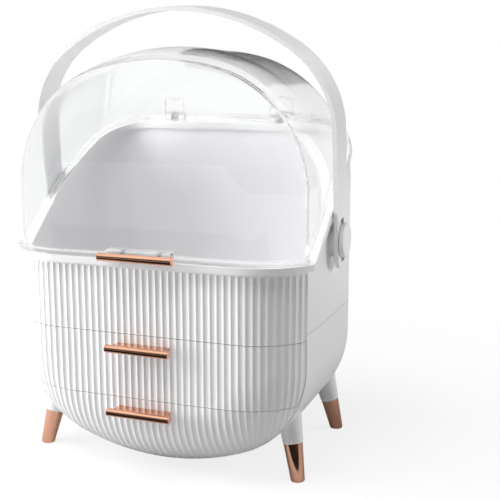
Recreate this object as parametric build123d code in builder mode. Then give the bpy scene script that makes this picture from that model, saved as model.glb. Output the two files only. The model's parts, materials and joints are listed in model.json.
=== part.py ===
from build123d import *
from math import asin, atan2, cos, hypot, sin, sqrt
import os

os.makedirs("parts", exist_ok=True)

# Outline of the rounded front face, seen from the front
front_half_width = 140.0
front_top = 359.4
front_top_radius = 223.8
front_shoulder_radius = 111.8
front_bottom = 0.2
front_bottom_radius = 217.8
front_lower_radius = 92.8

# Outline of the body behind the crease
body_half_width = 135.2
body_top = 364.0
body_top_radius = 188.0
body_shoulder_radius = 118.0
body_bottom = 5.0
body_bottom_radius = 213.0
body_lower_radius = 88.0

# Depths, measured back from the flat of the front face
body_depth = 192.0
edge_round = 58.0
crease_depth = 30.75
swell_depth = 60.0
back_round = 36.0

# Walls and clearances
casing_wall = 2.5
fascia_wall = 3.0
liner_wall = 2.0
drawer_wall = 2.0
rim_clear = 0.8
slide_clear = 0.4
drawer_inset = 4.0

# Heights of the parts of the front
band_bottom = 125.9
drawer_split = 69.95
side_seam = 131.5
lip_top = 190.0
lip_thickness = 5.5
flange_thickness = 4.5
lip_overhang = 4.5
flute_top = 182.2
front_gap = 0.5

# Line where the hood meets the casing, seen from the side
knee_depth = 34.3
middle_depth = 114.3
middle_height = 250.5
far_depth = 190.3
far_height = 296.0
knee_round = 5.0

# Flutes of the front
flutes_each_side = 24
flute_radius = 5.13
flute_depth = 0.8

# Pulls
bar_radius = 3.5
bar_reach = 12.0
drawer_bar_half = 29.0
hood_bar_half = 33.5
web_shorter = 5.0
web_height = 4.6
upper_pull_height = 115.6
lower_pull_height = 60.0
hood_pull_rise = 3.0
pull_screw_radius = 1.5
pull_screw_spacing = 34.0

# Hinges
hinge_inner = 46.8
hinge_outer = 67.0
lug_width = 6.0
knuckle_radius = 4.0
pin_radius = 1.5
leaf_top = 319.0
leaf_thickness = 2.0

# Handle
handle_half_width = 144.0
handle_top = 399.0
handle_top_radius = 186.0
handle_shoulder_radius = 87.0
handle_thickness = 3.5
handle_width = 32.0
handle_lean = 6.5
handle_depth = 98.3
leg_end_height = 190.5
pivot_height = 199.75
journal_radius = 10.7
journal_clear = 0.3
boss_radius = 15.0
slot_width = 9.0
slot_length = 38.5
cap_thickness = 3.9
hub_screw_radius = 2.0

# Feet
foot_x = 123.6
front_foot_depth = 40.3
back_foot_depth = 169.2
foot_splay_x = 0.2
foot_splay_y = 0.165
foot_tip_height = 31.0
foot_bottom_radius = 6.15
foot_top_radius = 8.3
foot_edge_round = 2.2
socket_top_radius = 12.0
socket_length = 46.0
spigot_radius = 5.0
spigot_length = 14.0

# Floors inside
shelf_thickness = 2.0
floor_thickness = 3.0

# Places that follow from the sizes above
pull_reach = bar_reach + bar_radius
hinge_reach = lip_overhang + knuckle_radius
front = -(body_depth + hinge_reach - pull_reach) / 2
back = front + body_depth
crease = front + crease_depth
swell = crease + swell_depth
corner_y = front + edge_round
pivot_y = front + handle_depth
far = 600.0


# Plane facing the front at a given depth, with X across and Z up
def face_plane(y):
    return Plane(origin=(0, y, 0), x_dir=(1, 0, 0), z_dir=(0, -1, 0))


# How far the crease of an inset form lies inside the crease of the whole form
def crease_inset(inset):
    run = edge_round - crease_depth
    whole = sqrt(edge_round ** 2 - run ** 2)
    return whole - sqrt((edge_round - inset) ** 2 - run ** 2)


# How far the crease outline lies inside the outline of the front face
crease_step = edge_round - sqrt(edge_round ** 2 - (edge_round - crease_depth) ** 2)


# Flat egg-shaped face from tangent arcs
def egg_face(sizes, inset):
    half_width, top, top_radius, shoulder, bottom, bottom_radius, lower = sizes
    w = half_width - inset
    z_top = top - inset
    r_top = top_radius - inset
    r_shoulder = shoulder - inset
    z_bottom = bottom + inset
    r_bottom = bottom_radius - inset
    r_lower = lower - inset
    shoulder_x = w - r_shoulder
    shoulder_z = z_top - r_top + sqrt((r_top - r_shoulder) ** 2 - shoulder_x ** 2)
    lower_x = w - r_lower
    lower_z = z_bottom + r_bottom - sqrt((r_bottom - r_lower) ** 2 - lower_x ** 2)
    up = atan2(shoulder_z - (z_top - r_top), shoulder_x)
    down = atan2(z_bottom + r_bottom - lower_z, lower_x)
    top_join = (r_top * cos(up), z_top - r_top + r_top * sin(up))
    low_join = (r_bottom * cos(down), z_bottom + r_bottom - r_bottom * sin(down))
    shoulder_mid = (shoulder_x + r_shoulder * cos(up / 2), shoulder_z + r_shoulder * sin(up / 2))
    lower_mid = (lower_x + r_lower * cos(down / 2), lower_z - r_lower * sin(down / 2))
    with BuildSketch() as egg:
        with BuildLine():
            ThreePointArc((-low_join[0], low_join[1]), (0, z_bottom), low_join)
            ThreePointArc(low_join, lower_mid, (w, lower_z))
            Line((w, lower_z), (w, shoulder_z))
            ThreePointArc((w, shoulder_z), shoulder_mid, top_join)
            ThreePointArc(top_join, (0, z_top), (-top_join[0], top_join[1]))
            ThreePointArc((-top_join[0], top_join[1]), (-shoulder_mid[0], shoulder_mid[1]), (-w, shoulder_z))
            Line((-w, shoulder_z), (-w, lower_z))
            ThreePointArc((-w, lower_z), (-lower_mid[0], lower_mid[1]), (-low_join[0], low_join[1]))
        make_face()
    return egg.sketch


front_sizes = (
    front_half_width, front_top, front_top_radius, front_shoulder_radius,
    front_bottom, front_bottom_radius, front_lower_radius,
)
body_sizes = (
    body_half_width, body_top, body_top_radius, body_shoulder_radius,
    body_bottom, body_bottom_radius, body_lower_radius,
)


# Sizes of an outline a share of the way from the crease to the body
def between_sizes(share):
    crease_sizes = (
        front_half_width - crease_step, front_top - crease_step, front_top_radius - crease_step,
        front_shoulder_radius - crease_step, front_bottom + crease_step,
        front_bottom_radius - crease_step, front_lower_radius - crease_step,
    )
    return tuple(a + share * (b - a) for a, b in zip(crease_sizes, body_sizes))


# Front pillow of the form, from the flat face back to the crease
def pillow_form(inset):
    outline = egg_face(front_sizes, inset)
    with BuildPart() as pillow:
        with BuildSketch(face_plane(front + edge_round + 2)):
            add(outline)
        extrude(amount=edge_round + 2 - inset)
        fillet(pillow.faces().sort_by(Axis.Y)[0].edges(), edge_round - inset)
        with Locations((0, crease + 50, 200)):
            Box(far, 100, far, mode=Mode.SUBTRACT)
    return pillow.part


# Body of the form, from the crease to the back wall
def body_form(inset):
    step = crease_inset(inset)
    shares = (0.0, 0.62, 1.0)
    outlines = [egg_face(between_sizes(share), step + (inset - step) * share) for share in shares]
    with BuildPart() as body:
        for outline, depth in zip(outlines, (0.0, 0.34, 1.0)):
            with BuildSketch(face_plane(crease + depth * swell_depth)):
                add(outline)
        loft()
        with BuildSketch(face_plane(back - inset)):
            add(outlines[-1])
        extrude(amount=back - inset - swell)
        fillet(body.faces().sort_by(Axis.Y)[-1].edges(), back_round - inset)
    return body.part


# Whole egg-shaped form, smaller or larger by an even amount
def egg_form(inset):
    pillow = pillow_form(inset)
    body = body_form(inset)
    with BuildPart() as whole:
        add(pillow)
        add(body)
    return whole.part


# Centre and radius of the long arc of the parting line in the side view
def parting_circle():
    ay, az = front + knee_depth, lip_top
    by, bz = front + middle_depth, middle_height
    cy, cz = front + far_depth, far_height
    d = 2 * (ay * (bz - cz) + by * (cz - az) + cy * (az - bz))
    a2, b2, c2 = ay ** 2 + az ** 2, by ** 2 + bz ** 2, cy ** 2 + cz ** 2
    y = (a2 * (bz - cz) + b2 * (cz - az) + c2 * (az - bz)) / d
    z = (a2 * (cy - by) + b2 * (ay - cy) + c2 * (by - ay)) / d
    return y, z, hypot(ay - y, az - z)


arc_y, arc_z, arc_radius = parting_circle()


# Height of the parting line raised square to itself, behind the knee
def parting_height(y, rise):
    return arc_z + sqrt((arc_radius + rise) ** 2 - (y - arc_y) ** 2)


# Everything above the parting line raised by an amount, or everything below it
def parting_region(rise, above):
    level = lip_top + rise
    knee = arc_y - sqrt((arc_radius + rise) ** 2 - (level - arc_z) ** 2)
    end = back + 14
    middle = (knee + end) / 2
    limit = 460.0 if above else -20.0
    with BuildPart() as region:
        with BuildSketch(Plane.YZ) as side:
            with BuildLine():
                Line((front - 40, level), (knee, level))
                ThreePointArc(
                    (knee, level), (middle, parting_height(middle, rise)), (end, parting_height(end, rise)),
                )
                Line((end, parting_height(end, rise)), (end, limit))
                Line((end, limit), (front - 40, limit))
                Line((front - 40, limit), (front - 40, level))
            make_face()
            bend = side.vertices().sort_by_distance((0, knee, level))[0]
            fillet(bend, knee_round)
        extrude(amount=200, both=True)
    return region.part


hinge_y = back + lip_overhang
hinge_z = parting_height(hinge_y, 0)

outer_form = egg_form(0)
wall_form = egg_form(casing_wall)
lip_form = egg_form(-lip_overhang)
fascia_form = pillow_form(fascia_wall)
liner_form = egg_form(casing_wall + rim_clear)
liner_inner = egg_form(casing_wall + rim_clear + liner_wall)
lip_inner = egg_form(casing_wall + rim_clear + liner_wall / 2)

above_parting = parting_region(slide_clear, True)
below_parting = parting_region(0, False)
below_flange = parting_region(flange_thickness, False)
above_lip = parting_region(-lip_thickness, True)


# Place on the rounded front and its outward direction, by distance across and from the flat
def rounded_point(x, offset):
    bottom_centre = front_bottom + front_bottom_radius
    lower_x = front_half_width - front_lower_radius
    lower_z = bottom_centre - sqrt((front_bottom_radius - front_lower_radius) ** 2 - lower_x ** 2)
    big = front_bottom_radius - edge_round + offset
    small = front_lower_radius - edge_round + offset
    z = bottom_centre - sqrt(big ** 2 - x ** 2)
    across, height = x / big, (z - bottom_centre) / big
    if x * (bottom_centre - lower_z) > lower_x * (bottom_centre - z):
        z = lower_z - sqrt(max(small ** 2 - (x - lower_x) ** 2, 0.0))
        across, height = (x - lower_x) / small, (z - lower_z) / small
    lean = offset / edge_round
    y = corner_y - sqrt(edge_round ** 2 - offset ** 2)
    return Vector(x, y, z), Vector(across * lean, -sqrt(1 - lean ** 2), height * lean)


crease_turn = asin((edge_round - crease_step) / edge_round)
flat_half = front_half_width - edge_round
flute_pitch = (flat_half + edge_round * crease_turn) / flutes_each_side


# Place and outward direction a share of the way down the rounded part of a flute
def flute_point(along, share):
    turn = max(along - flat_half, 0.0) / edge_round
    angle = turn + (crease_turn - turn) * share ** 1.6
    offset = edge_round * sin(angle)
    reach = edge_round * cos(angle) / cos(turn)
    x = flat_half + reach * sin(turn) if turn > 0 else along
    return rounded_point(x, offset)


# Upright cutter and curved cutter of one flute, by its distance round the plan
def flute_cutters(along):
    clear = flute_radius - flute_depth
    points = []
    for share in (0.0, 0.15, 0.3, 0.45, 0.6, 0.75, 0.9, 1.0):
        place, normal = flute_point(along, share)
        points.append(place + normal * clear)
    ending = (points[-1] - points[-2]).normalized()
    points.append(points[-1] + ending * 3)
    start = points[0]
    outward = flute_point(along, 0.0)[1]
    circle = Wire.make_circle(flute_radius, Plane(origin=start, x_dir=outward, z_dir=(0, 0, -1)))
    path = Wire([Edge.make_spline(points, tangents=[Vector(0, 0, -1), ending])])
    base = Plane(origin=start, x_dir=outward, z_dir=(0, 0, 1))
    upright = Solid.make_cylinder(flute_radius, flute_top - start.Z, base)
    return upright, Solid.sweep(Face(circle), path)


# Right half of the fluted skin, cut flute by flute
def fluted_half():
    cutters = [flute_cutters((k + 0.5) * flute_pitch) for k in range(flutes_each_side)]
    with BuildPart() as half:
        add(pillow_form(0))
        with Locations((-far / 2, 0, 200)):
            Box(far, far, far, mode=Mode.SUBTRACT)
        for upright, curved in cutters:
            add(upright, mode=Mode.SUBTRACT)
        for upright, curved in cutters:
            add(curved, mode=Mode.SUBTRACT)
        add(fascia_form, mode=Mode.SUBTRACT)
    return half.part


half_skin = fluted_half()


# One piece of the fluted skin between two heights, ending at a depth
def skin_slice(low, high, depth):
    with BuildPart() as half:
        add(half_skin)
        with Locations((0, depth - 100, (low + high) / 2)):
            Box(far, 200, high - low, mode=Mode.INTERSECT)
    with BuildPart() as whole:
        add(half.part)
        mirror(about=Plane.YZ)
    return whole.part


# Round bar along X
def bar_solid(radius, low, high, y, z):
    with BuildPart() as bar:
        with Locations(Location((low, y, z), (0, 90, 0))):
            Cylinder(radius, high - low, align=(Align.CENTER, Align.CENTER, Align.MIN))
    return bar.part


# Round bar along Y
def depth_bar(radius, x, low, high, z):
    with BuildPart() as bar:
        with Locations(Location((x, low, z), (-90, 0, 0))):
            Cylinder(radius, high - low, align=(Align.CENTER, Align.CENTER, Align.MIN))
    return bar.part


# Screw places of a pull
screw_places = (-pull_screw_spacing / 2, pull_screw_spacing / 2)
upper_low = drawer_split + front_gap / 2
upper_high = band_bottom - front_gap / 2
lower_high = drawer_split - front_gap / 2
fascia_back = front + fascia_wall
box_front = front + drawer_inset + drawer_wall


# Fixed fluted band under the lip
with BuildPart() as front_band:
    add(skin_slice(band_bottom + front_gap / 2, lip_top - lip_thickness, crease))


# Fluted front of a drawer with the holes of its pull
def drawer_front(low, high, pull_height):
    with BuildPart() as piece:
        add(skin_slice(low, high, crease - front_gap))
        for x in screw_places:
            add(depth_bar(pull_screw_radius + 0.2, x, front - 1, fascia_back + 1, pull_height), mode=Mode.SUBTRACT)
    return piece.part


with BuildPart() as drawer_front_upper:
    add(drawer_front(upper_low, upper_high, upper_pull_height))
with BuildPart() as drawer_front_lower:
    add(drawer_front(front_bottom - 5, lower_high, lower_pull_height))


# Straight-sided form that can slide out through the crease
def sliding_form(inset, back_gap, rounding):
    outline = egg_face(front_sizes, crease_step + crease_inset(inset))
    nose = pillow_form(inset)
    with BuildPart() as form:
        with BuildSketch(face_plane(back - back_gap)):
            add(outline)
        extrude(amount=back - back_gap - crease)
        fillet(form.faces().sort_by(Axis.Y)[-1].edges(), rounding)
        add(nose)
    return form.part


drawer_back_gap = casing_wall + 1.5
drawer_outer = sliding_form(drawer_inset, drawer_back_gap, back_round - drawer_back_gap)
drawer_inner = sliding_form(
    drawer_inset + drawer_wall, drawer_back_gap + drawer_wall, back_round - drawer_back_gap - drawer_wall,
)
shelf_top = upper_low - slide_clear
shelf_low = shelf_top - shelf_thickness


# Open box of a drawer between two heights
def drawer_box(low, high, floor, pull_height, pad_half, pad_low):
    with BuildPart() as hollow:
        add(drawer_inner)
        with Locations((0, 0, floor + 200)):
            Box(far, far, 400, mode=Mode.INTERSECT)
    with BuildPart() as box:
        add(drawer_outer)
        add(hollow.part, mode=Mode.SUBTRACT)
        with Locations((0, 0, (low + high) / 2)):
            Box(far, far, high - low, mode=Mode.INTERSECT)
        with Locations((0, (fascia_back + box_front) / 2, (pad_low + high) / 2)):
            Box(2 * pad_half, box_front - fascia_back, high - pad_low)
        for x in screw_places:
            add(depth_bar(pull_screw_radius + 0.2, x, front, box_front + 1, pull_height), mode=Mode.SUBTRACT)
    return box.part


with BuildPart() as drawer_box_upper:
    add(drawer_box(upper_low, upper_high - 1, upper_low + drawer_wall, upper_pull_height, 60, upper_pull_height - 9))
with BuildPart() as drawer_box_lower:
    add(drawer_box(-10, shelf_low - slide_clear, -10, lower_pull_height, 20, lower_pull_height))


# Pull with a round bar and a web back to the face it sits on
def pull(half_length, face, bar_y, height):
    with BuildPart() as piece:
        add(bar_solid(bar_radius, -half_length, half_length, bar_y, height))
        fillet(piece.edges().filter_by(GeomType.CIRCLE), 0.7)
        web_half = half_length - web_shorter
        with Locations((0, (face + bar_y) / 2, height)):
            Box(2 * web_half, face - bar_y, web_height)
        for x in screw_places:
            add(depth_bar(pull_screw_radius - 0.05, x, bar_y + 1.5, face + 1, height), mode=Mode.SUBTRACT)
    return piece.part


# Two screws that hold a pull, with their heads inside
def pull_screws(face, tip, height):
    with BuildPart() as screws:
        for x in screw_places:
            add(depth_bar(pull_screw_radius, x, tip, face + 0.5, height))
            add(depth_bar(2.4, x, face, face + 1.8, height))
    return screws.part


hood_pull_height = lip_top + hood_pull_rise
hood_pull_face = front - lip_overhang - 2.5
with BuildPart() as pull_upper:
    add(pull(drawer_bar_half, front, front - bar_reach, upper_pull_height))
with BuildPart() as pull_lower:
    add(pull(drawer_bar_half, front, front - bar_reach, lower_pull_height))
with BuildPart() as hood_pull:
    add(pull(hood_bar_half, hood_pull_face, front - bar_reach, hood_pull_height))
with BuildPart() as pull_screws_upper:
    add(pull_screws(box_front, front - bar_reach + 2, upper_pull_height))
with BuildPart() as pull_screws_lower:
    add(pull_screws(box_front, front - bar_reach + 2, lower_pull_height))
with BuildPart() as hood_pull_screws:
    add(pull_screws(front + casing_wall, front - bar_reach + 2, hood_pull_height))


# Frame of a foot: its place on the table and the way it points upwards
def foot_plane(side, depth, lean_y):
    up = Vector(-side * foot_splay_x, lean_y, 1).normalized()
    return Plane(origin=(side * foot_x, front + depth, 0), x_dir=(1, 0, side * foot_splay_x), z_dir=up)


foot_length = foot_tip_height * sqrt(1 + foot_splay_x ** 2 + foot_splay_y ** 2)
feet = {
    "foot_front_left": foot_plane(-1, front_foot_depth, foot_splay_y),
    "foot_front_right": foot_plane(1, front_foot_depth, foot_splay_y),
    "foot_rear_left": foot_plane(-1, back_foot_depth, -foot_splay_y),
    "foot_rear_right": foot_plane(1, back_foot_depth, -foot_splay_y),
}


def foot_tip(plane):
    slope = (foot_top_radius - foot_bottom_radius) / foot_length
    low = -1.5
    corner = foot_bottom_radius + low * slope - foot_edge_round
    round_step = foot_edge_round * sqrt(0.5)
    edge = (corner + foot_edge_round, low + foot_edge_round)
    with BuildPart() as tip:
        with BuildSketch(Plane(plane.origin, x_dir=plane.x_dir, z_dir=-plane.y_dir)):
            with BuildLine():
                Line((0, low), (corner, low))
                ThreePointArc((corner, low), (corner + round_step, low + foot_edge_round - round_step), edge)
                Polyline(
                    edge, (foot_top_radius, foot_length),
                    (spigot_radius, foot_length), (spigot_radius, foot_length + spigot_length),
                    (0, foot_length + spigot_length), (0, low),
                )
            make_face()
        revolve(axis=Axis(plane.origin, plane.z_dir))
        with Locations((0, 0, -50)):
            Box(far, far, 100, mode=Mode.SUBTRACT)
    return tip.part


# White cone of the casing above a foot tip, with the hole of its spigot
def foot_socket(plane):
    base = plane.offset(foot_length)
    with BuildPart() as socket:
        with BuildSketch(base):
            Circle(foot_top_radius + 0.4)
        with BuildSketch(base.offset(socket_length)):
            Circle(socket_top_radius)
        loft()
    return socket.part


def spigot_hole(plane):
    base = plane.offset(foot_length - 1)
    with BuildPart() as hole:
        with BuildSketch(base):
            Circle(spigot_radius - 0.05)
        extrude(amount=spigot_length + 1.5)
    return hole.part


# Lower casing, open at the front, with the sockets of the four feet
with BuildPart() as lower_casing:
    add(outer_form)
    for plane in feet.values():
        add(foot_socket(plane))
    add(wall_form, mode=Mode.SUBTRACT)
    with Locations((0, crease + 200, side_seam - 200)):
        Box(far, 400, 400, mode=Mode.INTERSECT)
    for plane in feet.values():
        add(spigot_hole(plane), mode=Mode.SUBTRACT)

# Fixed shelf between the two drawers
with BuildPart() as drawer_shelf:
    add(wall_form)
    with Locations((0, crease + 201, (shelf_top + shelf_low) / 2)):
        Box(far, 400, shelf_thickness, mode=Mode.INTERSECT)

# Two runners under the lower drawer
runner_space = sliding_form(drawer_inset - slide_clear, 0.5, back_round - 0.5)
with BuildPart() as lower_runners:
    add(wall_form)
    add(runner_space, mode=Mode.SUBTRACT)
    with Locations((-60, crease + 2 + 52, 25), (60, crease + 2 + 52, 25)):
        Box(10, 104, 60, mode=Mode.INTERSECT)


# Side profile swept across a width, for hinge arms
def side_block(points, low, high):
    with BuildPart() as block:
        with BuildSketch(Plane.YZ.offset(low)):
            with BuildLine():
                Polyline(*points, close=True)
            make_face()
        extrude(amount=high - low)
    return block.part


boss_face = handle_half_width - handle_thickness - journal_clear
knuckle_low = hinge_inner + lug_width + slide_clear
knuckle_high = hinge_outer - lug_width - slide_clear
lug_spans = ((hinge_inner, hinge_inner + lug_width), (hinge_outer - lug_width, hinge_outer))


# Spans on both sides of the middle
def both_sides(spans):
    return list(spans) + [(-high, -low) for low, high in spans]


lug_profile = (
    (back - 1, hinge_z - 16), (hinge_y + knuckle_radius * 0.87, hinge_z - knuckle_radius * 0.5),
    (hinge_y, hinge_z), (back - 1, parting_height(back - 1, 0) - 0.5),
)

# Upper casing with its tray, lip, hinge lugs and handle bosses
with BuildPart() as ring_wall:
    add(outer_form)
    add(wall_form, mode=Mode.SUBTRACT)
    with Locations((0, crease + 200, side_seam + 200)):
        Box(far, 400, 400, mode=Mode.INTERSECT)
    add(below_parting, mode=Mode.INTERSECT)
with BuildPart() as crease_web:
    add(outer_form)
    add(liner_inner, mode=Mode.SUBTRACT)
    with Locations((0, crease + 1.25, (side_seam + lip_top) / 2)):
        Box(far, 2.5, lip_top - side_seam, mode=Mode.INTERSECT)
with BuildPart() as tray_liner:
    add(liner_form)
    add(liner_inner, mode=Mode.SUBTRACT)
    with Locations((0, crease + 2.5 - 100, (side_seam - 2 + lip_top) / 2)):
        Box(far, 200, lip_top - side_seam + 2, mode=Mode.INTERSECT)
with BuildPart() as tray_floor:
    add(liner_form)
    with Locations((0, 0, side_seam + 1 - floor_thickness / 2)):
        Box(far, far, floor_thickness, mode=Mode.INTERSECT)
with BuildPart() as floor_edge:
    add(outer_form)
    with Locations((0, crease + 200, side_seam + 0.5)):
        Box(far, 400, 1, mode=Mode.INTERSECT)
with BuildPart() as lip_ring:
    add(lip_form)
    add(lip_inner, mode=Mode.SUBTRACT)
    add(below_parting, mode=Mode.INTERSECT)
    add(above_lip, mode=Mode.INTERSECT)
with BuildPart() as upper_casing:
    add(ring_wall.part)
    add(crease_web.part)
    add(tray_liner.part)
    add(tray_floor.part)
    add(floor_edge.part)
    add(lip_ring.part)
    for low, high in both_sides(((knuckle_low - slide_clear, knuckle_high + slide_clear),)):
        add(bar_solid(knuckle_radius + slide_clear, low, high, hinge_y, hinge_z), mode=Mode.SUBTRACT)
    for low, high in both_sides(lug_spans):
        add(side_block(lug_profile, low, high))
        add(bar_solid(knuckle_radius, low, high, hinge_y, hinge_z))
    for low, high in both_sides(((hinge_inner - 1, hinge_outer + 1),)):
        add(bar_solid(pin_radius - 0.05, low, high, hinge_y, hinge_z), mode=Mode.SUBTRACT)
    for low, high in both_sides(((body_half_width - 1.5, boss_face),)):
        add(bar_solid(boss_radius, low, high, pivot_y, pivot_height))
    for low, high in both_sides(((boss_face - 5.5, boss_face + 1),)):
        add(bar_solid(hub_screw_radius - 0.05, low, high, pivot_y, pivot_height), mode=Mode.SUBTRACT)

# Clear hood with its flange, hinge leaves, knuckles and pull block
with BuildPart() as hood_flange:
    add(lip_form)
    add(wall_form, mode=Mode.SUBTRACT)
    add(above_parting, mode=Mode.INTERSECT)
    add(below_flange, mode=Mode.INTERSECT)
with BuildPart() as hood_shell:
    add(outer_form)
    add(wall_form, mode=Mode.SUBTRACT)
    add(above_parting, mode=Mode.INTERSECT)
block_low = lip_top + slide_clear
block_high = lip_top + 8.0
with BuildPart() as hood:
    add(hood_shell.part)
    add(hood_flange.part)
    with Locations((0, (hood_pull_face + front + 1) / 2, (block_low + block_high) / 2)):
        Box(2 * (hood_bar_half - web_shorter) + 2, front + 1 - hood_pull_face, block_high - block_low)
    for low, high in both_sides(((hinge_inner, hinge_outer),)):
        leaf_low = parting_height(back, slide_clear) + 1
        with Locations(((low + high) / 2, back + leaf_thickness / 2 - 0.5, (leaf_low + leaf_top) / 2)):
            Box(high - low, leaf_thickness + 1, leaf_top - leaf_low)
    for low, high in both_sides(lug_spans):
        cut_low, cut_high = low - slide_clear, high + slide_clear
        add(bar_solid(knuckle_radius + slide_clear, cut_low, cut_high, hinge_y, hinge_z), mode=Mode.SUBTRACT)
    for low, high in both_sides(((knuckle_low, knuckle_high),)):
        add(bar_solid(knuckle_radius, low, high, hinge_y, hinge_z))
        arm = ((back - 1, hinge_z), (hinge_y, hinge_z), (hinge_y, hinge_z + 4), (back - 1, hinge_z + 8))
        add(side_block(arm, low, high))
        add(bar_solid(pin_radius + 0.3, low - 1, high + 1, hinge_y, hinge_z), mode=Mode.SUBTRACT)
    for x in screw_places:
        hole = depth_bar(pull_screw_radius + 0.2, x, hood_pull_face - 1, front + casing_wall + 1, hood_pull_height)
        add(hole, mode=Mode.SUBTRACT)


# Steel pin of a hinge
def hinge_pin(low, high):
    return bar_solid(pin_radius, low - 0.2, high + 0.2, hinge_y, hinge_z)


with BuildPart() as hinge_pin_left:
    add(hinge_pin(-hinge_outer, -hinge_inner))
with BuildPart() as hinge_pin_right:
    add(hinge_pin(hinge_inner, hinge_outer))

# Carrying handle, an arch with rounded and slotted leg ends, leaning forward a little
handle_sizes = (
    handle_half_width, handle_top, handle_top_radius, handle_shoulder_radius,
    -60.0, 300.0, 100.0,
)
arch_outer = egg_face(handle_sizes, 0)
arch_inner = egg_face(handle_sizes, handle_thickness)
with BuildPart() as upright_handle:
    with BuildSketch(face_plane(pivot_y)):
        add(arch_outer)
        add(arch_inner, mode=Mode.SUBTRACT)
    extrude(amount=handle_width / 2, both=True)
    with BuildSketch(Plane.YZ):
        with Locations((pivot_y, leg_end_height)):
            Circle(handle_width / 2)
        with Locations((pivot_y, leg_end_height + 150)):
            Rectangle(handle_width, 300)
        with Locations((pivot_y, pivot_height)):
            Circle(journal_radius + journal_clear, mode=Mode.SUBTRACT)
            Rectangle(slot_width, slot_length, mode=Mode.SUBTRACT)
    extrude(amount=200, both=True, mode=Mode.INTERSECT)
pivot_axis = Axis((0, pivot_y, pivot_height), (1, 0, 0))
with BuildPart() as handle:
    add(upright_handle.part.rotate(pivot_axis, handle_lean))

# Hubs that the handle turns on, their screws and their outer caps
hub_face = handle_half_width + journal_clear


def pivot_hub(side):
    with BuildPart() as hub:
        add(bar_solid(journal_radius, boss_face, hub_face, pivot_y, pivot_height))
        add(bar_solid(hub_screw_radius + 0.2, boss_face - 1, hub_face + 1, pivot_y, pivot_height), mode=Mode.SUBTRACT)
        add(bar_solid(4.0, hub_face - 2.2, hub_face + 1, pivot_y, pivot_height), mode=Mode.SUBTRACT)
        if side < 0:
            mirror(about=Plane.YZ)
            with Locations((far / 2, 0, 200)):
                Box(far, far, far, mode=Mode.SUBTRACT)
    return hub.part


def pivot_cap(side):
    low, high = sorted((side * hub_face, side * (hub_face + cap_thickness)))
    with BuildPart() as cap:
        add(bar_solid(boss_radius, low, high, pivot_y, pivot_height))
        rim = cap.edges().filter_by(GeomType.CIRCLE).sort_by(Axis.X)
        fillet(rim[-1] if side > 0 else rim[0], 1.0)
    return cap.part


with BuildPart() as pivot_hub_left:
    add(pivot_hub(-1))
with BuildPart() as pivot_hub_right:
    add(pivot_hub(1))
with BuildPart() as pivot_cap_left:
    add(pivot_cap(-1))
with BuildPart() as pivot_cap_right:
    add(pivot_cap(1))
with BuildPart() as pivot_screws:
    add(bar_solid(hub_screw_radius, boss_face - 5, hub_face - 2, pivot_y, pivot_height))
    add(bar_solid(3.6, hub_face - 2.2, hub_face - 0.2, pivot_y, pivot_height))
    mirror(about=Plane.YZ)

# The four feet
with BuildPart() as foot_front_left:
    add(foot_tip(feet["foot_front_left"]))
with BuildPart() as foot_front_right:
    add(foot_tip(feet["foot_front_right"]))
with BuildPart() as foot_rear_left:
    add(foot_tip(feet["foot_rear_left"]))
with BuildPart() as foot_rear_right:
    add(foot_tip(feet["foot_rear_right"]))

lower_casing.part.label = "lower_casing"
export_step(lower_casing.part, "parts/lower_casing.step")
upper_casing.part.label = "upper_casing"
export_step(upper_casing.part, "parts/upper_casing.step")
front_band.part.label = "front_band"
export_step(front_band.part, "parts/front_band.step")
drawer_shelf.part.label = "drawer_shelf"
export_step(drawer_shelf.part, "parts/drawer_shelf.step")
lower_runners.part.label = "lower_runners"
export_step(lower_runners.part, "parts/lower_runners.step")
drawer_front_upper.part.label = "drawer_front_upper"
export_step(drawer_front_upper.part, "parts/drawer_front_upper.step")
drawer_front_lower.part.label = "drawer_front_lower"
export_step(drawer_front_lower.part, "parts/drawer_front_lower.step")
drawer_box_upper.part.label = "drawer_box_upper"
export_step(drawer_box_upper.part, "parts/drawer_box_upper.step")
drawer_box_lower.part.label = "drawer_box_lower"
export_step(drawer_box_lower.part, "parts/drawer_box_lower.step")
pull_upper.part.label = "pull_upper"
export_step(pull_upper.part, "parts/pull_upper.step")
pull_lower.part.label = "pull_lower"
export_step(pull_lower.part, "parts/pull_lower.step")
hood_pull.part.label = "hood_pull"
export_step(hood_pull.part, "parts/hood_pull.step")
pull_screws_upper.part.label = "pull_screws_upper"
export_step(pull_screws_upper.part, "parts/pull_screws_upper.step")
pull_screws_lower.part.label = "pull_screws_lower"
export_step(pull_screws_lower.part, "parts/pull_screws_lower.step")
hood_pull_screws.part.label = "hood_pull_screws"
export_step(hood_pull_screws.part, "parts/hood_pull_screws.step")
hood.part.label = "hood"
export_step(hood.part, "parts/hood.step")
hinge_pin_left.part.label = "hinge_pin_left"
export_step(hinge_pin_left.part, "parts/hinge_pin_left.step")
hinge_pin_right.part.label = "hinge_pin_right"
export_step(hinge_pin_right.part, "parts/hinge_pin_right.step")
handle.part.label = "handle"
export_step(handle.part, "parts/handle.step")
pivot_hub_left.part.label = "pivot_hub_left"
export_step(pivot_hub_left.part, "parts/pivot_hub_left.step")
pivot_hub_right.part.label = "pivot_hub_right"
export_step(pivot_hub_right.part, "parts/pivot_hub_right.step")
pivot_cap_left.part.label = "pivot_cap_left"
export_step(pivot_cap_left.part, "parts/pivot_cap_left.step")
pivot_cap_right.part.label = "pivot_cap_right"
export_step(pivot_cap_right.part, "parts/pivot_cap_right.step")
pivot_screws.part.label = "pivot_screws"
export_step(pivot_screws.part, "parts/pivot_screws.step")
foot_front_left.part.label = "foot_front_left"
export_step(foot_front_left.part, "parts/foot_front_left.step")
foot_front_right.part.label = "foot_front_right"
export_step(foot_front_right.part, "parts/foot_front_right.step")
foot_rear_left.part.label = "foot_rear_left"
export_step(foot_rear_left.part, "parts/foot_rear_left.step")
foot_rear_right.part.label = "foot_rear_right"
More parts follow.
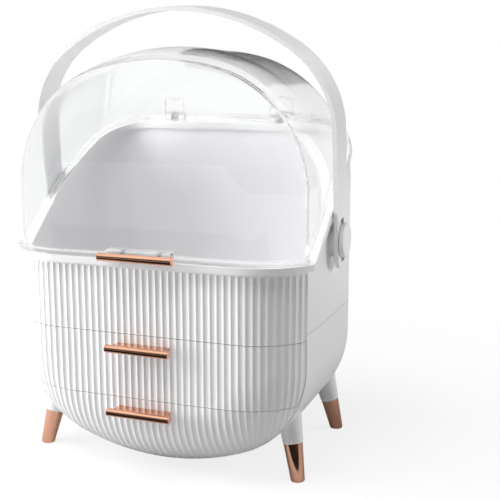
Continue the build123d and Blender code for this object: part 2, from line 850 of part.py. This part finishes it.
export_step(foot_rear_right.part, "parts/foot_rear_right.step")
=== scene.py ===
import bpy
import json
import math
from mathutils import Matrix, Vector


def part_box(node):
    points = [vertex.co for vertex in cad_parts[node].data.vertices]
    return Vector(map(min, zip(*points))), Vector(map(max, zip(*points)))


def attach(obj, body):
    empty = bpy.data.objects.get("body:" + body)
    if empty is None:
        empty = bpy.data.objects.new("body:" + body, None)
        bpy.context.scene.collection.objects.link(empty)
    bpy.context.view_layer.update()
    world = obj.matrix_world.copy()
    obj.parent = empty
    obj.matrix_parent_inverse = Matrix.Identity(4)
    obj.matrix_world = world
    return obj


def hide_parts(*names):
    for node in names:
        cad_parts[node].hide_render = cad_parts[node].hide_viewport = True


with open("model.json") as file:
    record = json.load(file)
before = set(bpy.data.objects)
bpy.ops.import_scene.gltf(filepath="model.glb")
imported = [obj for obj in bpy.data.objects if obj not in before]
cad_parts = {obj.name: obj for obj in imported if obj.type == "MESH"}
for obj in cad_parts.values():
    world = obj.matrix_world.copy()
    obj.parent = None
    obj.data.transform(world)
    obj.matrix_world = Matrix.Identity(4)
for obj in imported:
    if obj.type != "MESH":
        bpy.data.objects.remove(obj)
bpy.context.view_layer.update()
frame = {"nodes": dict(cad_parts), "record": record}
nodes = frame["nodes"]
sceneData = bpy.context.scene
print("frame loaded:", len(nodes), "nodes")

# the photograph's view, found from its level lines, flutes and feet
view = {
    "spot": (0.3279, -0.7257, 0.3283),
    "aim": (0.05878, 0.0058, 0.18529),
    "lens": 63.4,
    "sensor": 36.0,
    "nearest": 0.02,
}
cameraData = bpy.data.cameras.new("photoCamera")
cameraData.lens = view["lens"]
cameraData.sensor_width = view["sensor"]
cameraData.clip_start = view["nearest"]
camera = bpy.data.objects.new("photoCamera", cameraData)
camera.location = view["spot"]
towards = Vector(view["aim"]) - Vector(view["spot"])
camera.rotation_euler = towards.to_track_quat("-Z", "Y").to_euler()
sceneData.collection.objects.link(camera)
sceneData.camera = camera
sceneData.view_settings.view_transform = "Standard"
print("camera placed")

# soft boxes round the object: azimuth from the front towards the right, degrees
softBoxes = {
    "leftBox": {"azimuth": -66, "height": 0.38, "distance": 1.0, "width": 0.7, "tall": 0.8, "power": 13.0},
    "rightBox": {"azimuth": 118, "height": 0.5, "distance": 1.6, "width": 0.8, "tall": 1.1, "power": 12.5},
    "topBox": {"azimuth": -20, "height": 1.85, "distance": 0.65, "width": 1.0, "tall": 1.0, "power": 23.0},
}
# the point that every soft box faces
centre = Vector((0.0, 0.0, 0.2))
for boxName, box in softBoxes.items():
    lampData = bpy.data.lights.new(boxName, "AREA")
    lampData.shape = "RECTANGLE"
    lampData.size = box["width"]
    lampData.size_y = box["tall"]
    lampData.energy = box["power"]
    lamp = bpy.data.objects.new(boxName, lampData)
    lamp.visible_glossy = False
    lamp.visible_transmission = False
    turn = math.radians(box["azimuth"])
    lamp.location = (box["distance"] * math.sin(turn), -box["distance"] * math.cos(turn), box["height"])
    lamp.rotation_euler = (centre - lamp.location).to_track_quat("-Z", "Y").to_euler()
    sceneData.collection.objects.link(lamp)


# gives a socket either a plain value or a link
def feed(tree, socket, value):
    if isinstance(value, (int, float)):
        socket.default_value = value
    else:
        tree.links.new(value, socket)


# one step of arithmetic, in the tree of a material, of the world or of Geometry Nodes
def treeMath(tree, operation, first, second=None):
    step = tree.nodes.new("ShaderNodeMath")
    step.operation = operation
    feed(tree, step.inputs[0], first)
    if second is not None:
        feed(tree, step.inputs[1], second)
    return step.outputs[0]


# value that runs from low to high while its source runs over a span
def mapRange(tree, source, low, high, span=(0.0, 1.0), smooth=False):
    ramp = tree.nodes.new("ShaderNodeMapRange")
    if smooth:
        ramp.interpolation_type = "SMOOTHSTEP"
    ramp.inputs["From Min"].default_value = span[0]
    ramp.inputs["From Max"].default_value = span[1]
    ramp.inputs["To Min"].default_value = low
    ramp.inputs["To Max"].default_value = high
    tree.links.new(source, ramp.inputs["Value"])
    return ramp.outputs["Result"]


def mixShaders(tree, share, first, second):
    mix = tree.nodes.new("ShaderNodeMixShader")
    tree.links.new(share, mix.inputs["Fac"])
    tree.links.new(first, mix.inputs[1])
    tree.links.new(second, mix.inputs[2])
    return mix.outputs[0]


# world: white where the camera or clear plastic sees it, a studio for shine, a dim fill for the rest
fill = {"ambient": 0.15, "studio": 0.5, "above": 1.25, "side": 0.95, "behind": 0.04, "before": 0.05}
# where each part of the studio fades in, along an axis of the direction or across a slanted edge
studioEdges = {
    "above": (0.5, 0.62),
    "side": (-0.42, -0.56),
    "behindFar": (0.2, 0.26),
    "behindSlant": (-0.01, 0.01),
    "behindThrough": (0.12, 0.18),
    "beforeNear": (-0.3, -0.45),
    "beforeTop": (0.42, 0.34),
    "beforeLeft": (-0.75, -0.65),
}
behindSlants = ((0.737, 0.262, 0.144), (-0.748, -0.151, 0.396))
world = bpy.data.worlds.new("studio")
sceneData.world = world
world.use_nodes = True
worldTree = world.node_tree
worldTree.nodes.clear()
worldOut = worldTree.nodes.new("ShaderNodeOutputWorld")
direction = worldTree.nodes.new("ShaderNodeTexCoord")
parts = worldTree.nodes.new("ShaderNodeSeparateXYZ")
worldTree.links.new(direction.outputs["Generated"], parts.inputs[0])


def worldBackground(strength):
    background = worldTree.nodes.new("ShaderNodeBackground")
    background.inputs["Color"].default_value = (1, 1, 1, 1)
    feed(worldTree, background.inputs["Strength"], strength)
    return background.outputs[0]


def worldStep(axis, edge):
    return mapRange(worldTree, parts.outputs[axis], 0.0, 1.0, studioEdges[edge], True)


# one straight edge of a card that lies far off
def worldSlant(across):
    product = worldTree.nodes.new("ShaderNodeVectorMath")
    product.operation = "DOT_PRODUCT"
    product.inputs[1].default_value = across
    worldTree.links.new(direction.outputs["Generated"], product.inputs[0])
    return mapRange(worldTree, product.outputs["Value"], 0.0, 1.0, studioEdges["behindSlant"], True)


def worldProduct(factors):
    total = factors[0]
    for factor in factors[1:]:
        total = treeMath(worldTree, "MULTIPLY", total, factor)
    return total


def worldMix(before, mask, strength):
    mix = worldTree.nodes.new("ShaderNodeMix")
    mix.data_type = "FLOAT"
    feed(worldTree, mix.inputs["A"], before)
    mix.inputs["B"].default_value = strength
    worldTree.links.new(mask, mix.inputs["Factor"])
    return mix.outputs["Result"]


rays = worldTree.nodes.new("ShaderNodeLightPath").outputs
studioShine = worldMix(fill["studio"], worldStep("Z", "above"), fill["above"])
studioShine = worldMix(studioShine, worldStep("X", "side"), fill["side"])
# grey card behind the object, between two slanted edges, that the top of the hood mirrors
behindCard = worldProduct([worldStep("Y", "behindFar")] + [worldSlant(across) for across in behindSlants])
studioShine = worldMix(studioShine, behindCard, fill["behind"])
# dark card low in front of the object, which the metal mirrors
beforeCard = worldProduct([
    worldStep("Y", "beforeNear"),
    worldStep("Z", "beforeTop"),
    worldStep("X", "beforeLeft"),
])
studioShine = worldMix(studioShine, beforeCard, fill["before"])
shineMix = mixShaders(
    worldTree, rays["Is Glossy Ray"], worldBackground(fill["ambient"]), worldBackground(studioShine)
)
whiteRays = treeMath(worldTree, "MAXIMUM", rays["Is Camera Ray"], rays["Is Transmission Ray"])
# the clear plastic also lets the upper part of the grey card through, while the camera sees white in the
# same directions: painted grey shade seen only through the clear plastic, darkening the top of the hood
paintedShadeThroughClear = worldProduct([behindCard, worldStep("Z", "behindThrough"), rays["Is Transmission Ray"]])
seen = worldBackground(worldMix(1.0, paintedShadeThroughClear, fill["behind"]))
worldTree.links.new(mixShaders(worldTree, whiteRays, shineMix, seen), worldOut.inputs["Surface"])
print("lights and world set")


def newMaterial(title):
    material = bpy.data.materials.new(title)
    material.use_nodes = True
    tree = material.node_tree
    return material, tree, tree.nodes["Principled BSDF"]


def objectNoise(tree, scale, detail):
    place = tree.nodes.new("ShaderNodeTexCoord")
    noise = tree.nodes.new("ShaderNodeTexNoise")
    noise.inputs["Scale"].default_value = scale
    noise.inputs["Detail"].default_value = detail
    tree.links.new(place.outputs["Object"], noise.inputs["Vector"])
    return noise.outputs["Fac"]


# colour that runs from the first to the second, which may come from another node
def mixColours(tree, share, first, second):
    mix = tree.nodes.new("ShaderNodeMix")
    mix.data_type = "RGBA"
    mix.inputs["A"].default_value = (*first, 1)
    if isinstance(second, tuple):
        mix.inputs["B"].default_value = (*second, 1)
    else:
        tree.links.new(second, mix.inputs["B"])
    tree.links.new(share, mix.inputs["Factor"])
    return mix.outputs["Result"]


def fineBump(tree, shader, source, strength, distance):
    bump = tree.nodes.new("ShaderNodeBump")
    bump.inputs["Strength"].default_value = strength
    bump.inputs["Distance"].default_value = distance
    tree.links.new(source, bump.inputs["Height"])
    tree.links.new(bump.outputs["Normal"], shader.inputs["Normal"])
    return bump


# moulded white plastic with a faint unevenness in its shine
whiteLook = {
    "colour": (0.91, 0.91, 0.92), "darker": 0.985, "ior": 1.5,
    "clouds": 14.0, "cloudDetail": 3.0, "smoothest": 0.255, "roughest": 0.36,
    "grain": 900.0, "grainDetail": 2.0, "bump": 0.12, "bumpDepth": 0.00005,
}


def whitePlastic(title):
    material, tree, shader = newMaterial(title)
    clouds = objectNoise(tree, whiteLook["clouds"], whiteLook["cloudDetail"])
    grain = objectNoise(tree, whiteLook["grain"], whiteLook["grainDetail"])
    darker = tuple(c * whiteLook["darker"] for c in whiteLook["colour"])
    tree.links.new(mixColours(tree, clouds, darker, whiteLook["colour"]), shader.inputs["Base Color"])
    roughness = mapRange(tree, clouds, whiteLook["smoothest"], whiteLook["roughest"])
    tree.links.new(roughness, shader.inputs["Roughness"])
    fineBump(tree, shader, grain, whiteLook["bump"], whiteLook["bumpDepth"])
    shader.inputs["IOR"].default_value = whiteLook["ior"]
    return material


# white plastic of the two casings, with painted shade standing in for a fine groove round the sides where
# they meet: a thin darker line
seam = {
    "nodes": ("upper_casing", "lower_casing"),
    "height": 0.1315,
    "half": 0.0003,
    "soft": 0.0003,
    "shade": 0.7,
}


def casingPlastic(title):
    material = whitePlastic(title)
    tree = material.node_tree
    baseColour = tree.nodes["Principled BSDF"].inputs["Base Color"]
    place = tree.nodes.new("ShaderNodeTexCoord")
    split = tree.nodes.new("ShaderNodeSeparateXYZ")
    tree.links.new(place.outputs["Object"], split.inputs["Vector"])
    away = treeMath(tree, "ABSOLUTE", treeMath(tree, "SUBTRACT", split.outputs["Z"], seam["height"]))
    plainShare = mapRange(tree, away, 0.0, 1.0, (seam["half"], seam["half"] + seam["soft"]))
    # painted seam shade: a darker copy of the plastic's colour along the line where the casings meet
    line = tuple(c * seam["shade"] for c in whiteLook["colour"])
    tree.links.new(mixColours(tree, plainShare, line, baseColour.links[0].from_socket), baseColour)
    return material


# clear plastic; shadows, scattered light and rays that stay inside too long pass straight through
clearLook = {
    "colour": (0.985, 0.99, 0.99), "through": (0.995, 0.995, 0.995), "ior": 1.49, "longestPath": 4.5,
    "ripple": 9.0, "rippleDetail": 1.0, "smoothest": 0.008, "roughest": 0.03,
    "bump": 0.05, "bumpDepth": 0.0004, "roundedEdge": 0.003,
}


def clearPlastic(title):
    material, tree, shader = newMaterial(title)
    shader.inputs["Base Color"].default_value = (*clearLook["colour"], 1)
    shader.inputs["Transmission Weight"].default_value = 1.0
    shader.inputs["IOR"].default_value = clearLook["ior"]
    ripple = objectNoise(tree, clearLook["ripple"], clearLook["rippleDetail"])
    roughness = mapRange(tree, ripple, clearLook["smoothest"], clearLook["roughest"])
    tree.links.new(roughness, shader.inputs["Roughness"])
    rounded = tree.nodes.new("ShaderNodeBevel")
    rounded.inputs["Radius"].default_value = clearLook["roundedEdge"]
    bump = fineBump(tree, shader, ripple, clearLook["bump"], clearLook["bumpDepth"])
    tree.links.new(rounded.outputs["Normal"], bump.inputs["Normal"])
    path = tree.nodes.new("ShaderNodeLightPath").outputs
    through = tree.nodes.new("ShaderNodeBsdfTransparent")
    through.inputs["Color"].default_value = (*clearLook["through"], 1)
    soft = treeMath(tree, "MAXIMUM", path["Is Shadow Ray"], path["Is Diffuse Ray"])
    trapped = treeMath(tree, "GREATER_THAN", path["Ray Depth"], clearLook["longestPath"])
    released = treeMath(tree, "MAXIMUM", soft, trapped)
    mixed = mixShaders(tree, released, shader.outputs[0], through.outputs[0])
    tree.links.new(mixed, tree.nodes["Material Output"].inputs["Surface"])
    return material


# metals: two shades of one colour, an uneven shine and a fine bump, all from one noise
metalLooks = {
    "roseGold": {
        "deep": (0.8084, 0.4418, 0.3008), "light": (0.86, 0.47, 0.32), "noise": 60.0, "detail": 4.0,
        "smoothest": 0.063, "roughest": 0.117, "bump": 0.06, "bumpDepth": 0.00003,
    },
    "plainSteel": {
        "deep": (0.42, 0.42, 0.44), "light": (0.6, 0.6, 0.62), "noise": 400.0, "detail": 3.0,
        "smoothest": 0.25, "roughest": 0.45, "bump": 0.15, "bumpDepth": 0.00004,
    },
}


def metal(title):
    look = metalLooks[title]
    material, tree, shader = newMaterial(title)
    shader.inputs["Metallic"].default_value = 1.0
    noise = objectNoise(tree, look["noise"], look["detail"])
    tree.links.new(mixColours(tree, noise, look["deep"], look["light"]), shader.inputs["Base Color"])
    tree.links.new(mapRange(tree, noise, look["smoothest"], look["roughest"]), shader.inputs["Roughness"])
    fineBump(tree, shader, noise, look["bump"], look["bumpDepth"])
    return material


finishes = {
    "white_plastic": whitePlastic("whitePlastic"),
    "clear_plastic": clearPlastic("clearPlastic"),
    "rose_gold": metal("roseGold"),
    "steel": metal("plainSteel"),
}
casingFinish = casingPlastic("casingPlastic")


def dress(piece, material):
    piece.data.materials.clear()
    piece.data.materials.append(material)


slotOf = {entry["node"]: entry["material_slot"] for entry in frame["record"]["subparts"]}
for nodeName, node in nodes.items():
    dress(node, casingFinish if nodeName in seam["nodes"] else finishes[slotOf[nodeName]])
print("CAD nodes dressed")


# sockets of a Geometry Nodes tree, each with its name, kind and usual value
def treeInputs(tree, sockets):
    for title, kind, value in sockets:
        socket = tree.interface.new_socket(title, in_out="INPUT", socket_type=kind)
        if value is not None:
            socket.default_value = value
    tree.interface.new_socket("Geometry", in_out="OUTPUT", socket_type="NodeSocketGeometry")


def treeVector(tree, x, y, z):
    vector = tree.nodes.new("ShaderNodeCombineXYZ")
    for place, value in enumerate((x, y, z)):
        feed(tree, vector.inputs[place], value)
    return vector.outputs[0]


# body of revolution down the Z axis, its radius set at each of the line's points
def turnedBody(tree, top, bottom, points, radius, sides):
    line = tree.nodes.new("GeometryNodeCurvePrimitiveLine")
    tree.links.new(treeVector(tree, 0.0, 0.0, top), line.inputs["Start"])
    tree.links.new(treeVector(tree, 0.0, 0.0, bottom), line.inputs["End"])
    spaced = tree.nodes.new("GeometryNodeResampleCurve")
    tree.links.new(line.outputs[0], spaced.inputs["Curve"])
    feed(tree, spaced.inputs["Count"], points)
    ring = tree.nodes.new("GeometryNodeCurvePrimitiveCircle")
    ring.inputs["Resolution"].default_value = sides
    ring.inputs["Radius"].default_value = 1.0
    body = tree.nodes.new("GeometryNodeCurveToMesh")
    body.inputs["Fill Caps"].default_value = True
    tree.links.new(spaced.outputs[0], body.inputs["Curve"])
    tree.links.new(radius, body.inputs["Scale"])
    tree.links.new(ring.outputs[0], body.inputs["Profile Curve"])
    return body.outputs[0]


# how the screws are shaped, in shares of their own sizes and in numbers of points
screwShape = {
    "turnPoints": 4.0, "shankSides": 16, "taperFrom": 0.9, "taper": 0.008,
    "headPoints": 7, "headSides": 28, "rim": 0.55, "dome": 0.45,
    "recessLength": 1.15, "recessDepth": 1.2,
}


# pan head screws in a row of two: domed head with a cross recess, and a threaded shank
def screwTree():
    tree = bpy.data.node_groups.new("panHeadScrews", "GeometryNodeTree")
    treeInputs(tree, [
        ("Spacing", "NodeSocketFloat", 0.03),
        ("Length", "NodeSocketFloat", 0.012),
        ("Head Radius", "NodeSocketFloat", 0.0024),
        ("Head Height", "NodeSocketFloat", 0.0018),
        ("Shank Radius", "NodeSocketFloat", 0.0015),
        ("Thread Depth", "NodeSocketFloat", 0.00025),
        ("Thread Pitch", "NodeSocketFloat", 0.0007),
        ("Recess Width", "NodeSocketFloat", 0.0006),
        ("Turn X", "NodeSocketFloat", 0.0),
        ("Turn Y", "NodeSocketFloat", 0.0),
        ("Apart", "NodeSocketFloat", 0.0),
        ("Place", "NodeSocketVector", (0.0, 0.0, 0.0)),
        ("Finish", "NodeSocketMaterial", None),
    ])
    given = tree.nodes.new("NodeGroupInput").outputs
    made = tree.nodes.new("NodeGroupOutput")
    along = tree.nodes.new("GeometryNodeSplineParameter").outputs["Factor"]
    index = tree.nodes.new("GeometryNodeInputIndex").outputs[0]
    neck = treeMath(tree, "MULTIPLY", given["Head Height"], -1.0)
    tip = treeMath(tree, "MULTIPLY", given["Length"], -1.0)

    # thread: the radius falls to the groove and back once a turn, and narrows at the tip
    turnPoints = screwShape["turnPoints"]
    sawtooth = treeMath(tree, "MULTIPLY", treeMath(tree, "MODULO", index, turnPoints), 2.0 / turnPoints)
    crest = treeMath(tree, "ABSOLUTE", treeMath(tree, "SUBTRACT", sawtooth, 1.0))
    groove = treeMath(tree, "MULTIPLY", crest, given["Thread Depth"])
    nearTip = treeMath(tree, "MAXIMUM", treeMath(tree, "SUBTRACT", along, screwShape["taperFrom"]), 0.0)
    taper = treeMath(tree, "MULTIPLY", nearTip, screwShape["taper"])
    threaded = treeMath(tree, "SUBTRACT", given["Shank Radius"], groove)
    shankRadius = treeMath(tree, "SUBTRACT", threaded, taper)
    turns = treeMath(tree, "DIVIDE", treeMath(tree, "SUBTRACT", neck, tip), given["Thread Pitch"])
    turnedPoints = treeMath(tree, "MULTIPLY", treeMath(tree, "ROUND", turns), turnPoints)
    shankPoints = treeMath(tree, "ADD", turnedPoints, 1.0)
    shank = turnedBody(tree, neck, tip, shankPoints, shankRadius, screwShape["shankSides"])

    # head: a quarter circle over a straight rim, cut by two crossed blades
    below = treeMath(tree, "SUBTRACT", 1.0, along)
    bulge = treeMath(tree, "SQRT", treeMath(tree, "SUBTRACT", 1.0, treeMath(tree, "MULTIPLY", below, below)))
    domed = treeMath(tree, "ADD", treeMath(tree, "MULTIPLY", bulge, screwShape["dome"]), screwShape["rim"])
    headRadius = treeMath(tree, "MULTIPLY", given["Head Radius"], domed)
    head = turnedBody(tree, 0.0, neck, screwShape["headPoints"], headRadius, screwShape["headSides"])
    cross = tree.nodes.new("GeometryNodeMeshBoolean")
    cross.operation = "DIFFERENCE"
    tree.links.new(head, cross.inputs["Mesh 1"])
    slotLength = treeMath(tree, "MULTIPLY", given["Head Radius"], screwShape["recessLength"])
    slotDepth = treeMath(tree, "MULTIPLY", given["Head Height"], screwShape["recessDepth"])
    for size in ((slotLength, given["Recess Width"]), (given["Recess Width"], slotLength)):
        blade = tree.nodes.new("GeometryNodeMeshCube")
        tree.links.new(treeVector(tree, size[0], size[1], slotDepth), blade.inputs["Size"])
        tree.links.new(blade.outputs[0], cross.inputs["Mesh 2"])

    # two of them, each turned its own way, moved to their place
    screw = tree.nodes.new("GeometryNodeJoinGeometry")
    tree.links.new(cross.outputs[0], screw.inputs[0])
    tree.links.new(shank, screw.inputs[0])
    row = tree.nodes.new("GeometryNodeMeshLine")
    row.inputs["Count"].default_value = 2
    tree.links.new(treeVector(tree, given["Spacing"], 0.0, 0.0), row.inputs["Offset"])
    halfBack = treeMath(tree, "MULTIPLY", given["Spacing"], -0.5)
    tree.links.new(treeVector(tree, halfBack, 0.0, 0.0), row.inputs["Start Location"])
    around = treeMath(tree, "MULTIPLY", treeMath(tree, "SUBTRACT", 1.0, index), given["Apart"])
    placed = tree.nodes.new("GeometryNodeInstanceOnPoints")
    tree.links.new(row.outputs[0], placed.inputs["Points"])
    tree.links.new(screw.outputs[0], placed.inputs["Instance"])
    tree.links.new(treeVector(tree, given["Turn X"], given["Turn Y"], around), placed.inputs["Rotation"])
    moved = tree.nodes.new("GeometryNodeTransform")
    tree.links.new(placed.outputs[0], moved.inputs["Geometry"])
    tree.links.new(given["Place"], moved.inputs["Translation"])
    real = tree.nodes.new("GeometryNodeRealizeInstances")
    tree.links.new(moved.outputs[0], real.inputs[0])
    finished = tree.nodes.new("GeometryNodeSetMaterial")
    tree.links.new(real.outputs[0], finished.inputs["Geometry"])
    tree.links.new(given["Finish"], finished.inputs["Material"])
    tree.links.new(finished.outputs[0], made.inputs[0])
    return tree


# edges that meet at more than this angle stay sharp
sharpFrom = math.radians(35)


# runs a tree with its sizes and keeps the result as a plain mesh
def meshFromTree(title, tree, sizes):
    maker = bpy.data.objects.new(title + "Maker", bpy.data.meshes.new(title + "Maker"))
    sceneData.collection.objects.link(maker)
    modifier = maker.modifiers.new(title, "NODES")
    modifier.node_group = tree
    for item in tree.interface.items_tree:
        if item.in_out == "INPUT" and item.name in sizes:
            modifier[item.identifier] = sizes[item.name]
    solved = maker.evaluated_get(bpy.context.evaluated_depsgraph_get())
    mesh = bpy.data.meshes.new_from_object(solved)
    maker.modifiers.remove(modifier)
    bpy.data.objects.remove(maker)
    mesh.set_sharp_from_angle(angle=sharpFrom)
    piece = bpy.data.objects.new(title, mesh)
    sceneData.collection.objects.link(piece)
    return piece


# the CAD screws give the places, and these take them over with heads and threads
pullScrew = {"head": 0.0024, "headHeight": 0.0018, "shank": 0.0015, "pitch": 0.0007}
hubScrew = {
    "head": 0.0036, "headHeight": 0.002, "shank": 0.002, "pitch": 0.0009,
    "length": 0.011, "recess": 0.0009,
}
pullScrewBodies = {
    "pull_screws_upper": "drawer_upper",
    "pull_screws_lower": "drawer_lower",
    "hood_pull_screws": "hood",
}
screws = screwTree()
for nodeName, body in pullScrewBodies.items():
    low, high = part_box(nodeName)
    pair = meshFromTree(nodeName.replace("_", "") + "Set", screws, {
        "Spacing": high[0] - low[0] - 2 * pullScrew["head"],
        "Length": high[1] - low[1],
        "Head Radius": pullScrew["head"],
        "Head Height": pullScrew["headHeight"],
        "Shank Radius": pullScrew["shank"],
        "Thread Pitch": pullScrew["pitch"],
        "Turn X": math.radians(-90),
        "Place": (0.0, high[1], (low[2] + high[2]) / 2),
        "Finish": finishes["steel"],
    })
    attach(pair, body)
    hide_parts(nodeName)
low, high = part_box("pivot_screws")
hubPair = meshFromTree("pivotscrewsSet", screws, {
    "Spacing": high[0] - low[0],
    "Length": hubScrew["length"],
    "Head Radius": hubScrew["head"],
    "Head Height": hubScrew["headHeight"],
    "Shank Radius": hubScrew["shank"],
    "Thread Pitch": hubScrew["pitch"],
    "Recess Width": hubScrew["recess"],
    "Turn Y": math.radians(90),
    "Apart": math.radians(180),
    "Place": (0.0, (low[1] + high[1]) / 2, (low[2] + high[2]) / 2),
    "Finish": finishes["steel"],
})
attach(hubPair, "casing")
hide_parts("pivot_screws")
print("screws made")


# flat piece of the surroundings with four corners, and a dull material of its own
def flatPiece(title, corners, materialTitle, roughness):
    mesh = bpy.data.meshes.new(title)
    mesh.from_pydata(corners, [], [(0, 1, 2, 3)])
    piece = bpy.data.objects.new(title, mesh)
    sceneData.collection.objects.link(piece)
    material, tree, shader = newMaterial(materialTitle)
    shader.inputs["Roughness"].default_value = roughness
    shader.inputs["Specular IOR Level"].default_value = 0.0
    dress(piece, material)
    return piece, tree, shader


# floor, white to the camera with a faint shadow
floorSizes = {
    "half": 3.0, "drop": 0.0002, "roughness": 0.9, "albedo": 0.95, "bounce": 0.54, "glow": 1.0,
    "near": 0.8, "far": 1.0, "spread": (0.25, 0.6),
    "farOff": (0.5, 1.2), "leftSide": (-0.1, -0.24), "leftMost": 0.95,
}
half = floorSizes["half"]
floorCorners = [(-half, -half, 0), (half, -half, 0), (half, half, 0), (-half, half, 0)]
floor, floorTree, floorShader = flatPiece("floor", floorCorners, "floorWhite", floorSizes["roughness"])
floor.location = (0, 0, -floorSizes["drop"])
glow = floorTree.nodes.new("ShaderNodeEmission")
glow.inputs["Strength"].default_value = floorSizes["glow"]
floorRays = floorTree.nodes.new("ShaderNodeLightPath").outputs
onlyGlossy = treeMath(floorTree, "SUBTRACT", floorRays["Is Glossy Ray"], floorRays["Is Transmission Ray"])
mirrored = treeMath(floorTree, "MAXIMUM", onlyGlossy, 0.0)
bounced = treeMath(floorTree, "MAXIMUM", mirrored, floorRays["Is Diffuse Ray"])
floorColour = mixColours(floorTree, bounced, (floorSizes["albedo"],) * 3, (floorSizes["bounce"],) * 3)
floorTree.links.new(floorColour, floorShader.inputs["Base Color"])
floorPlace = floorTree.nodes.new("ShaderNodeTexCoord").outputs["Object"]
fromObject = floorTree.nodes.new("ShaderNodeVectorMath")
fromObject.operation = "LENGTH"
floorTree.links.new(floorPlace, fromObject.inputs[0])
floorParts = floorTree.nodes.new("ShaderNodeSeparateXYZ")
floorTree.links.new(floorPlace, floorParts.inputs[0])
# the camera and the clear plastic see it white, and the metal sees it white only far off and to the left
reach = fromObject.outputs["Value"]
spread = mapRange(floorTree, reach, floorSizes["near"], floorSizes["far"], floorSizes["spread"])
floorSeen = treeMath(floorTree, "MAXIMUM", floorRays["Is Camera Ray"], floorRays["Is Transmission Ray"])
farOff = mapRange(floorTree, reach, 0.0, 1.0, floorSizes["farOff"])
leftSide = mapRange(floorTree, floorParts.outputs["X"], 0.0, floorSizes["leftMost"], floorSizes["leftSide"])
mirroredShare = treeMath(floorTree, "MULTIPLY", mirrored, treeMath(floorTree, "MAXIMUM", farOff, leftSide))
share = treeMath(floorTree, "MAXIMUM", treeMath(floorTree, "MULTIPLY", floorSeen, spread), mirroredShare)
floorMix = mixShaders(floorTree, share, floorShader.outputs[0], glow.outputs[0])
floorTree.links.new(floorMix, floorTree.nodes["Material Output"].inputs["Surface"])
print("floor laid")

# black card lying in front, seen only in the shine of the metal
cardSizes = {
    "left": -1.08, "farLeft": -0.07, "right": 0.75, "near": -1.3, "far": -0.125, "height": 0.001,
    "shade": (0.02, 0.02, 0.02), "roughness": 1.0,
}
cardCorners = [
    (cardSizes["left"], cardSizes["near"], cardSizes["height"]),
    (cardSizes["right"], cardSizes["near"], cardSizes["height"]),
    (cardSizes["right"], cardSizes["far"], cardSizes["height"]),
    (cardSizes["farLeft"], cardSizes["far"], cardSizes["height"]),
]
card, cardTree, cardShader = flatPiece("shineCard", cardCorners, "cardBlack", cardSizes["roughness"])
cardShader.inputs["Base Color"].default_value = (*cardSizes["shade"], 1)
card.visible_camera = False
card.visible_diffuse = False
card.visible_transmission = False
card.visible_shadow = False
print("shine card laid")
